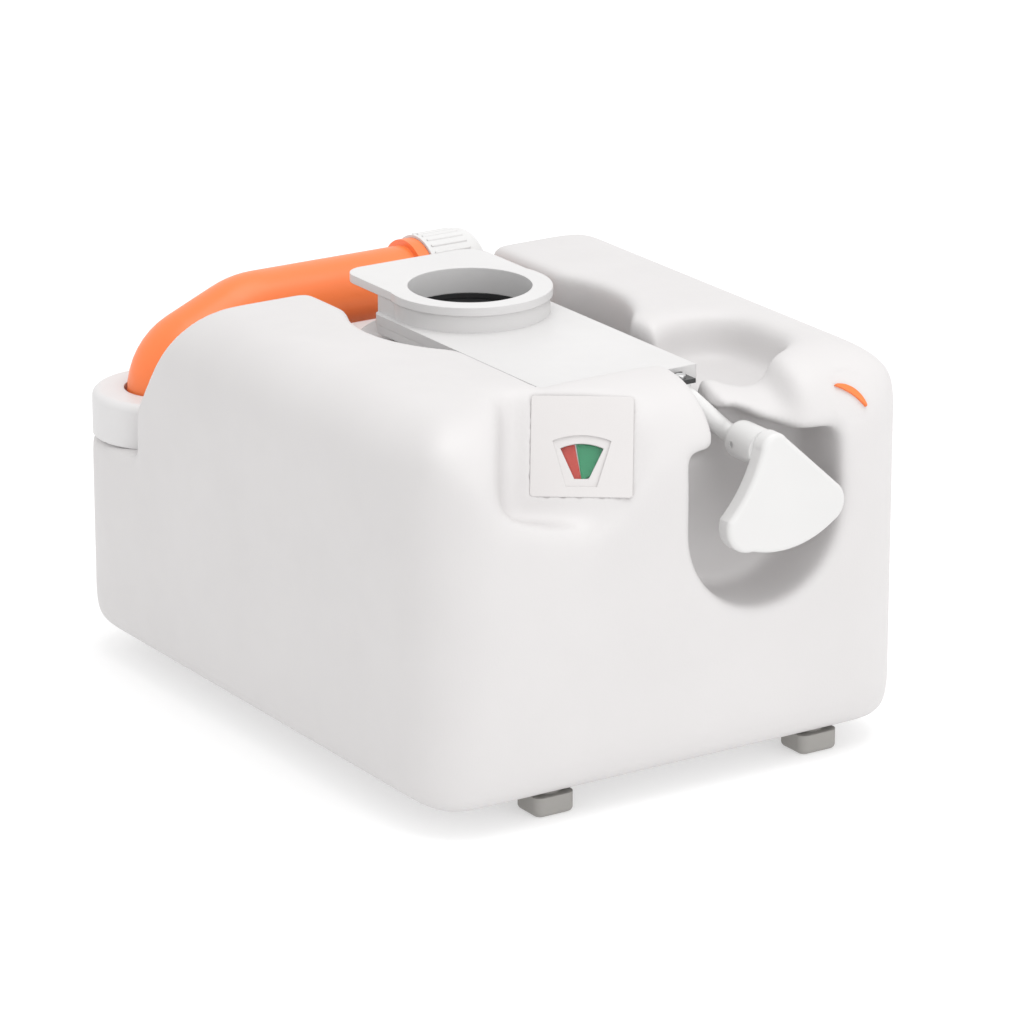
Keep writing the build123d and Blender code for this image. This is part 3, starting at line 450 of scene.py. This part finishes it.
def handle_spaces(housing_front):
    """The finger recess, the rod's groove and the way through to the handle's hub."""
    recess_z = high.z - RECESS_CENTRE_DROP
    recess_round = np.hypot(X - RECESS_X, Z - recess_z) - RECESS_RADIUS
    recess_straight = common([np.abs(X - RECESS_X) - RECESS_RADIUS, recess_z - Z, Z - RECESS_TOP_Z])
    recess = np.maximum(np.minimum(recess_round, recess_straight), Y - low.y - RECESS_DEPTH)
    hub_round = np.hypot(X - HUB_X, Z - high.z + HUB_DROP) - HUB_ROOM
    hub_way = np.maximum(hub_round, Y - low.y - HUB_SETBACK)
    groove = box_space((ROD_LEFT_X, ROD_RIGHT_X), (-FAR, housing_front + ROD_REACH), high.z - ROD_DEPTH)
    return [recess, hub_way, groove]


def neck_spaces(neck_y, well_floor):
    """The well round the clamp ring, the channel behind it and the bed of the slide plate."""
    plate_bed = (-PLATE_HALF_WIDTH, PLATE_HALF_WIDTH)
    return [
        round_space(0, neck_y - WELL_SETBACK, WELL_RADIUS, well_floor),
        box_space((REAR_LEFT_X, REAR_RIGHT_X), (neck_y, FAR), well_floor),
        box_space(plate_bed, (PLATE_FRONT_Y, neck_y), well_floor + PLATE_STEP),
    ]


def spout_spaces(spout_x, spout_y, shelf):
    """The low rear shelf that the spout lies over, and the room round its collar."""
    foot_y = high.y - PLATEAU_DEPTH
    return [
        box_space((REAR_LEFT_X, REAR_RIGHT_X), (LEDGE_Y, FAR), shelf),
        rear_space((-FAR, REAR_LEFT_X), LEFT_SWEEP, foot_y, PLATEAU_SWEEP_HEIGHT, shelf),
        rear_space((REAR_RIGHT_X, FAR), RIGHT_SWEEP, foot_y, PLATEAU_SWEEP_HEIGHT, shelf),
        round_space(spout_x, spout_y, COLLAR_ROOM, shelf),
    ]


def tank_field():
    """Distance field of the whole tank wall."""
    housing_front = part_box("valve_upper_housing")[0][1]
    spout_low, spout_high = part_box("spout_collar")
    shelf = spout_low[2]
    spout_x, spout_y = (spout_low[0] + spout_high[0]) / 2, (spout_low[1] + spout_high[1]) / 2
    neck_y = (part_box("neck_gasket")[0][1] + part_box("neck_gasket")[1][1]) / 2
    well_floor = high.z - WELL_DEPTH
    u, v, w = [on_face(direction, face_centre) for direction in (face_across, face_up, face_out)]

    hollow = joined(
        neck_spaces(neck_y, well_floor)
        + spout_spaces(spout_x, spout_y, shelf)
        + handle_spaces(housing_front)
    )
    outer = blur(np.maximum(body_outline(), -gentle_pockets(u, v, w)), SOFT_POCKET)
    outer = blur(np.maximum(outer, -hollow), SOFT_EDGE)

    # The surface over the air vent stays as the body's own, with room for the button below it.
    along_y, along_z = VENT_OUTWARD
    vent_x, vent_y, vent_z = VENT_POINT
    vent_height = (Y - vent_y) * along_y + (Z - vent_z) * along_z
    vent_side = (Y - vent_y) * along_z - (Z - vent_z) * along_y
    vent_radius = np.hypot(X - vent_x, vent_side)
    vent_cover = common([
        body_outline() + VENT_COVER_SINK,
        vent_radius - VENT_COVER_RADIUS,
        -vent_height - VENT_COVER_DEPTH,
    ])
    outer = np.minimum(outer, vent_cover)

    openings = joined([
        np.maximum(np.hypot(X, Y - neck_y) - NECK_HOLE, well_floor - HOLE_DEPTH - Z),
        np.maximum(np.hypot(X - spout_x, Y - spout_y) - SPIGOT_HOLE, shelf - HOLE_DEPTH - Z),
        common([np.abs(u) - TRAY_HALF, np.abs(v) - TRAY_HALF, -TRAY_DEPTH - w]),
        np.maximum(np.hypot(u, v + BUSH_DROP) - BUSH_ROOM, -BUSH_DEPTH - w),
        np.maximum(vent_radius - VENT_ROOM, np.abs(vent_height + VENT_MIDDLE_DEPTH) - VENT_HALF_DEPTH),
    ])
    inner = outer + SKIN_WALL
    return common([outer, -inner, -openings])


tank_skin = field_mesh("tank_skin", tank_field())
tank_skin.data.materials.append(finish["tank_plastic"])
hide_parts("tank_shell")
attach(tank_skin, "tank")


# ------------------------------------------------------------------ studio
def area_light(name, place, target, size, power):
    """A soft square light aimed at a point."""
    data = bpy.data.lights.new(name, "AREA")
    data.shape = "SQUARE"
    data.size = size
    data.energy = power
    lamp = bpy.data.objects.new(name, data)
    bpy.context.collection.objects.link(lamp)
    lamp.location = place
    lamp.rotation_euler = (Vector(target) - Vector(place)).to_track_quat("-Z", "Y").to_euler()
    return lamp


def studio():
    """A white floor, a white sky and three soft lights."""
    world = bpy.data.worlds.new("studio")
    bpy.context.scene.world = world
    world.use_nodes = True
    world.node_tree.nodes["Background"].inputs["Color"].default_value = (1, 1, 1, 1)
    world.node_tree.nodes["Background"].inputs["Strength"].default_value = 1.0
    bpy.context.scene.view_settings.view_transform = "Standard"
    mesh = bpy.data.meshes.new("floor")
    reach = 12.0
    corners = [(-reach, -reach, 0), (reach, -reach, 0), (reach, reach, 0), (-reach, reach, 0)]
    mesh.from_pydata(corners, [], [(0, 1, 2, 3)])
    floor = bpy.data.objects.new("floor", mesh)
    bpy.context.collection.objects.link(floor)
    paper, tree, shader = principled("floor_paper", (0.95, 0.95, 0.95), 0.9)
    tint(tree, shader, (0.6, 0.6, 0.6), noise(tree, 3, 2), 0.005)
    shader.inputs["Emission Color"].default_value = (1, 1, 1, 1)
    shader.inputs["Emission Strength"].default_value = 0.42
    floor.data.materials.append(paper)
    area_light("top", (0.2, -0.3, 2.2), (0, 0, 0.1), 1.6, 19)
    area_light("front", (0.7, -3.0, 0.8), (0, 0, 0.1), 1.5, 16)
    area_light("fill", (-1.2, -2.6, 0.9), (0, 0, 0.1), 2.0, 4)


def camera():
    """A long lens from the front left and above."""
    data = bpy.data.cameras.new("camera")
    data.lens = 194.28
    data.sensor_width = 36.0
    data.clip_end = 100
    rig = bpy.data.objects.new("camera", data)
    bpy.context.collection.objects.link(rig)
    right, up, ahead = (0.8397, -0.5430, 0.0), (0.1721, 0.2661, 0.9485), (0.5151, 0.7964, -0.3169)
    turn = Matrix([right, up, [-a for a in ahead]]).transposed()
    rig.matrix_world = Matrix.Translation((-1.6641, -2.6003, 1.1436)) @ turn.to_4x4()
    bpy.context.scene.camera = rig


studio()
camera()
